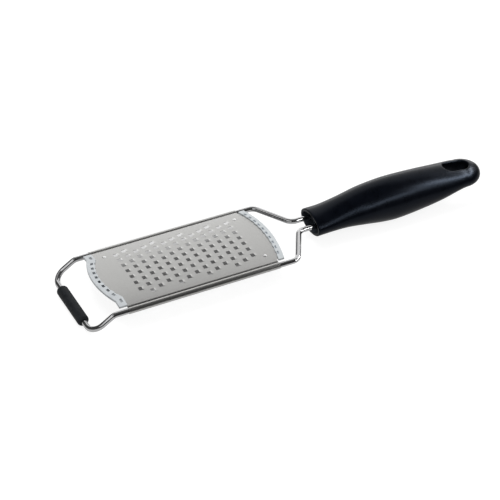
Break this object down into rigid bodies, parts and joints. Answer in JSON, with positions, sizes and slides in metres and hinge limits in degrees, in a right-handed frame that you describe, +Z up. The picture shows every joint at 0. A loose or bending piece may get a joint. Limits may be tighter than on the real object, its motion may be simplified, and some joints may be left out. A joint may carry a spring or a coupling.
{
  "type": "rasp zester",
  "caption": "Wide hand rasp: an arched blade of raised teeth rolled round a bent wire frame, with a rubber foot bar at the tip and a black handle with a hanging hole.",
  "frame": {"origin": "on the resting surface, under the middle of the bounding box", "axes": "+X from the foot bar towards the handle's tail, +Z up through the blade, +Y across"},
  "size_m": [0.332, 0.0752, 0.0336],
  "materials": {
    "blade_steel": "satin stainless sheet",
    "wire_steel": "polished stainless rod",
    "guard_plastic": "ice-white translucent plastic",
    "foot_rubber": "matt black rubber",
    "plug_plastic": "matt black plastic",
    "handle_plastic": "satin black plastic"
  },
  "bodies": {
    "root": {"blade": "blade_steel", "wire_frame": "wire_steel", "front_guard": "guard_plastic", "rear_guard": "guard_plastic", "foot_sleeve": "foot_rubber", "handle_plug": "plug_plastic", "handle": "handle_plastic"}
  },
  "joints": []
}
